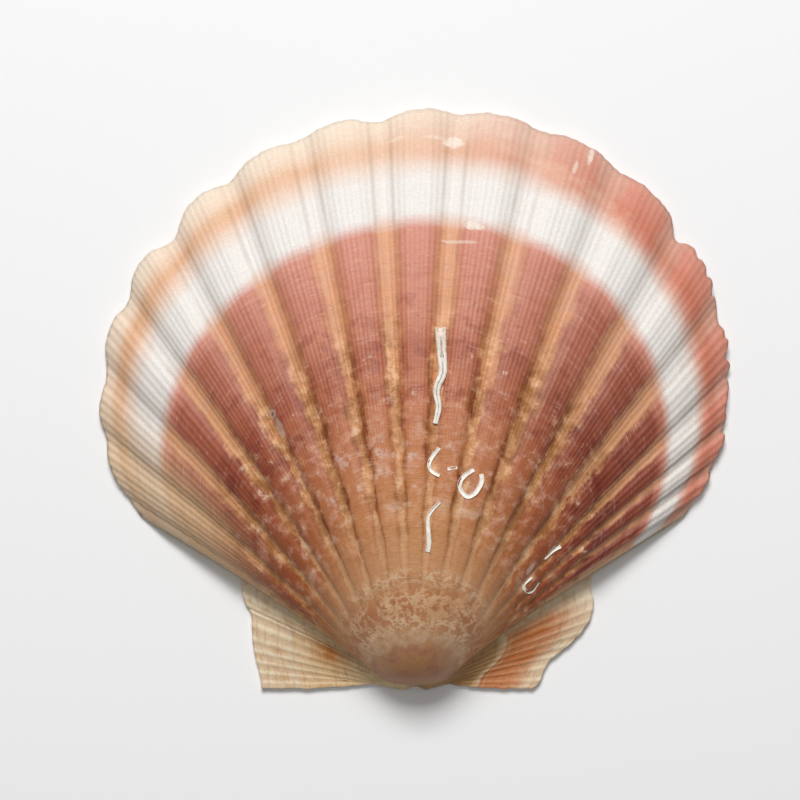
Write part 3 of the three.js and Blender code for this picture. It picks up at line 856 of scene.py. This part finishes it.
def tube_tree(material):
    """Sweeps an uneven, open-roofed wall along the route that comes in as a line of edges."""
    tree = bpy.data.node_groups.new("worm_tube_growth", "GeometryNodeTree")
    tree.interface.new_socket(name="Geometry", in_out="INPUT", socket_type="NodeSocketGeometry")
    tree.interface.new_socket(name="Geometry", in_out="OUTPUT", socket_type="NodeSocketGeometry")
    size = growth_inputs(tree, TUBE_SIZES)
    group = tree.nodes.new("NodeGroupInput")
    route = node_with(tree, "GeometryNodeMeshToCurve", group.outputs["Geometry"])
    route = node_with(tree, "GeometryNodeCurveSplineType", route.outputs[0], spline_type="CATMULL_ROM")

    # A sheet whose long side runs along the tube and whose short side goes round its wall.
    sheet = tree.nodes.new("GeometryNodeMeshGrid")
    for slot, value in zip(sheet.inputs, (1.0, 1.0, TUBE_ROWS, TUBE_COLUMNS)):
        slot.default_value = value
    spot = node_with(tree, "ShaderNodeSeparateXYZ", tree.nodes.new("GeometryNodeInputPosition").outputs[0])
    along = Field(tree, spot.outputs[0]) + 0.5
    around = Field(tree, spot.outputs[1]) + 0.5
    sample = node_with(tree, "GeometryNodeSampleCurve", mode="FACTOR", use_all_curves=True)
    tree.links.new(route.outputs[0], sample.inputs["Curves"])
    tree.links.new(along.below(0.9999).socket, sample.inputs["Factor"])
    up = vector_of(tree, 0.0, 0.0, 1.0)
    side = node_with(
        tree, "ShaderNodeVectorMath", sample.outputs["Tangent"], up, operation="CROSS_PRODUCT"
    ).outputs[0]
    side = node_with(tree, "ShaderNodeVectorMath", side, operation="NORMALIZE").outputs[0]

    fork = along.ease(0.02, 0.10, 1.0, 0.0) + along.hump(0.30, 0.035) * 0.45
    opening = along.mix(size["Start Opening"], size["End Opening"]) + fork * size["Fork"]
    rough = noise_field(tree, sample.outputs["Position"], 900.0, 3.0, 0.6, 21.0)
    torn = noise_field(tree, sample.outputs["Position"], 1500.0, 3.0, 0.7, 22.0)
    opening = (opening * (0.55 + torn * 0.9)).above(0.0)
    turn = 1 - (around * 2 - 1).abs()
    angle = opening + turn * (2 * math.pi - opening * 2)
    lip = (along.ease(0.0, 0.012) * along.ease(0.988, 1.0, 1.0, 0.0)).ease(0.0, 1.0, 0.0, 1.0)
    bore = lip.mix(0.8, size["Bore"])
    shell_side = lip * 0.2 + 0.8
    inside = around.ease(0.5, 0.53) * around.ease(0.97, 1.0, 1.0, 0.0)
    radius = along.mix(size["Start Radius"], size["End Radius"]) * inside.mix(shell_side, bore)
    radius = radius * (1 + (rough - 0.5) * size["Unevenness"])
    sideways = scaled(tree, side, radius * angle.sin())
    upwards = scaled(tree, up, radius * angle.cos() * size["Flatness"])
    place = added(tree, sample.outputs["Position"], added(tree, sideways, upwards))
    swept = node_with(tree, "GeometryNodeSetPosition", sheet.outputs["Mesh"])
    tree.links.new(place, swept.inputs["Position"])
    for name, field in (("along", along), ("inside", inside)):
        store = node_with(tree, "GeometryNodeStoreNamedAttribute", data_type="FLOAT", domain="POINT")
        store.inputs["Name"].default_value = name
        tree.links.new(swept.outputs[0], store.inputs["Geometry"])
        tree.links.new(field.socket, store.inputs["Value"])
        swept = store
    welded = node_with(tree, "GeometryNodeMergeByDistance", swept.outputs[0])
    welded.inputs["Distance"].default_value = 2e-6
    return finish_tree(tree, welded.outputs[0], material)


def chalk_finish():
    """Dull white lime, greyer in the bore and dotted with dark grit."""
    f = Finish("tube_chalk")
    cloud = f.noise(f.place, 700.0, 4.0, 0.6, 31.0)
    grit = f.noise(f.place, 2600.0, 2.0, 0.5, 32.0)
    colour = f.layer((230, 220, 205), (245, 240, 230), cloud.ease(0.35, 0.6))
    colour = f.layer(colour, (200, 155, 120), f.mark("inside") * 0.85)
    colour = f.layer(colour, (96, 74, 60), grit.ease(0.68, 0.72) * 0.8)
    f.tree.links.new(colour, f.shader.inputs["Base Color"])
    f.tree.links.new(cloud.ease(0.2, 0.8, 0.6, 0.85).socket, f.shader.inputs["Roughness"])
    f.bump(cloud * 0.7 + grit * 0.3, 0.0002, 0.9)
    return f.material


shell_skin = BVHTree.FromPolygons(
    [vertex.co for vertex in shell.data.vertices], [face.vertices for face in shell.data.polygons]
)
chalk = chalk_finish()
tube_growth = tube_tree(chalk)
tube_pieces = []
for name, route, start_radius, end_radius, start_opening, end_opening, bore, flatness in TUBES:
    laid = []
    for i, (x, y) in enumerate(route):
        radius = start_radius + (end_radius - start_radius) * i / (len(route) - 1)
        above = Vector((AXIS.x + x * MM, AXIS.y + y * MM, HIGH_ABOVE))
        hit, _, _, _ = shell_skin.ray_cast(above, Vector((0, 0, -1)))
        laid.append(hit + Vector((0, 0, radius * TUBE_SEAT * MM)))
    line = bpy.data.meshes.new("route_" + name)
    line.from_pydata(laid, [(i, i + 1) for i in range(len(laid) - 1)], [])
    tube_sizes = {
        "Start Radius": start_radius * MM, "End Radius": end_radius * MM,
        "Start Opening": start_opening, "End Opening": end_opening, "Bore": bore,
        "Flatness": flatness, "Fork": FORKED_MOUTH if name == "long" else 0.0,
    }
    tube = grown("tube_" + name, line, tube_growth, {**TUBE_SIZES, **tube_sizes})
    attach(tube, "root")
    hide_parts("worm_tube_" + name)


# ---- The surface, the light and the camera ------------------------------------------------
# A plain pale table top, one large soft light from beyond the margin, a faint one overhead and
# a dim room. The camera looks straight down on the shell, as on a specimen laid out for study.

CAMERA_SPOT = Vector((-2.24, 54.9, 600)) * MM
FOCAL_LENGTH = 132.84

table = bpy.data.meshes.new("table_top")
table.from_pydata([(-1.5, -1.5, 0), (1.5, -1.5, 0), (1.5, 1.5, 0), (-1.5, 1.5, 0)], [], [(0, 1, 2, 3)])
floor = bpy.data.objects.new("table_top", table)
bpy.context.scene.collection.objects.link(floor)
floor_paint = bpy.data.materials.new("pale_table")
floor_paint.use_nodes = True
floor_shader = floor_paint.node_tree.nodes["Principled BSDF"]
floor_shader.inputs["Base Color"].default_value = (0.9, 0.9, 0.9, 1)
floor_shader.inputs["Roughness"].default_value = 0.8
floor_shader.inputs["Specular IOR Level"].default_value = 0.1
table.materials.append(floor_paint)


def soft_light(name, spot, size, watts):
    light = bpy.data.lights.new(name, "AREA")
    light.shape, light.size, light.energy = "SQUARE", size, watts
    lamp = bpy.data.objects.new(name, light)
    bpy.context.scene.collection.objects.link(lamp)
    lamp.location = spot
    lamp.rotation_euler = (Vector((0, 0, 0)) - Vector(spot)).to_track_quat("-Z", "Y").to_euler()


soft_light("window", (-0.06, 0.7, 0.95), 0.45, 12.5)
soft_light("ceiling", (0, 0.1, 1.3), 0.6, 2)
room = bpy.data.worlds.new("room")
room.use_nodes = True
room.node_tree.nodes["Background"].inputs[0].default_value = (1, 1, 1, 1)
room.node_tree.nodes["Background"].inputs[1].default_value = 0.16
bpy.context.scene.world = room

camera = bpy.data.objects.new("camera", bpy.data.cameras.new("camera"))
bpy.context.scene.collection.objects.link(camera)
camera.location = AXIS + CAMERA_SPOT
camera.data.lens = FOCAL_LENGTH
bpy.context.scene.camera = camera
bpy.context.scene.view_settings.view_transform = "Standard"
